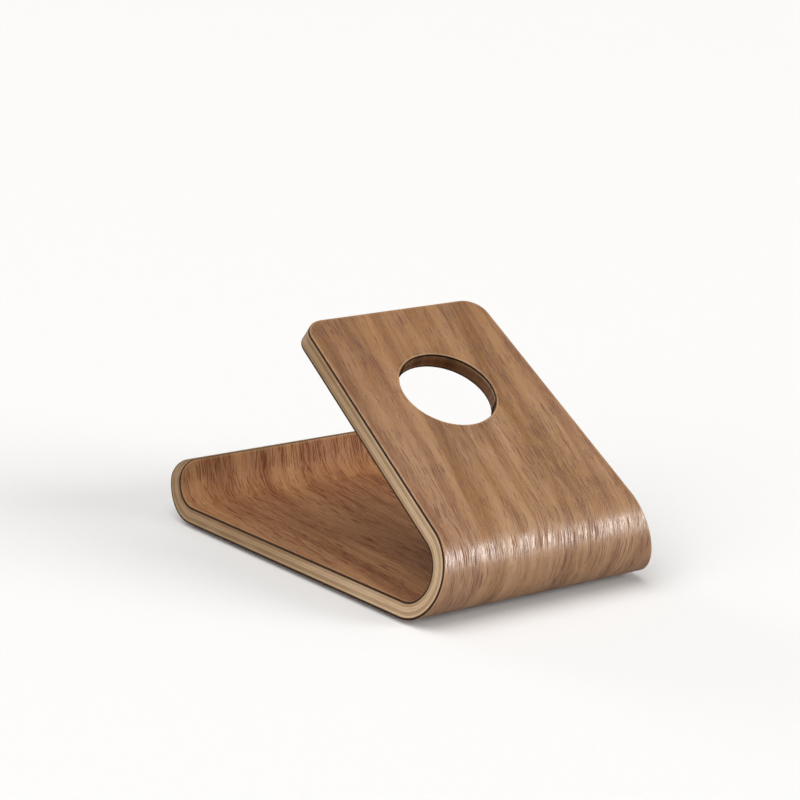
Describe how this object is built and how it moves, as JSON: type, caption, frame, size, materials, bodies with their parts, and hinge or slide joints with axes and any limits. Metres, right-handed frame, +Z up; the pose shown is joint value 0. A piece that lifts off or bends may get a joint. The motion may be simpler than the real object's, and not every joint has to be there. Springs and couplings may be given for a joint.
{
  "type": "phone stand",
  "caption": "Desk stand for a phone, bent from one sheet of walnut-faced moulded plywood: front lip, flat base, rear bend and a sloping leg with a round hole.",
  "frame": {"origin": "on the desk, at the centre of the stand's outline seen from above", "axes": "+Z up, +X across the stand, -Y towards the front lip and the person who looks at the phone, +Y towards the rear bend"},
  "size_m": [0.0756, 0.0966, 0.0519],
  "materials": {
    "walnut_face": "satin lacquered walnut veneer, grain along the sheet",
    "maple_long_grain": "pale veneer edge, grain along the sheet, smooth-sanded",
    "maple_cross_grain": "duller veneer edge, grain across the sheet, smooth-sanded",
    "pad_rubber": "matte soft rubber"
  },
  "bodies": {
    "root": {"outer_face_veneer": "walnut_face", "core_ply_1": "maple_long_grain", "core_ply_2": "maple_cross_grain", "core_ply_3": "maple_long_grain", "core_ply_4": "maple_long_grain", "core_ply_5": "maple_cross_grain", "inner_face_veneer": "walnut_face", "front_right_pad": "pad_rubber", "front_left_pad": "pad_rubber", "rear_right_pad": "pad_rubber", "rear_left_pad": "pad_rubber"}
  },
  "joints": []
}
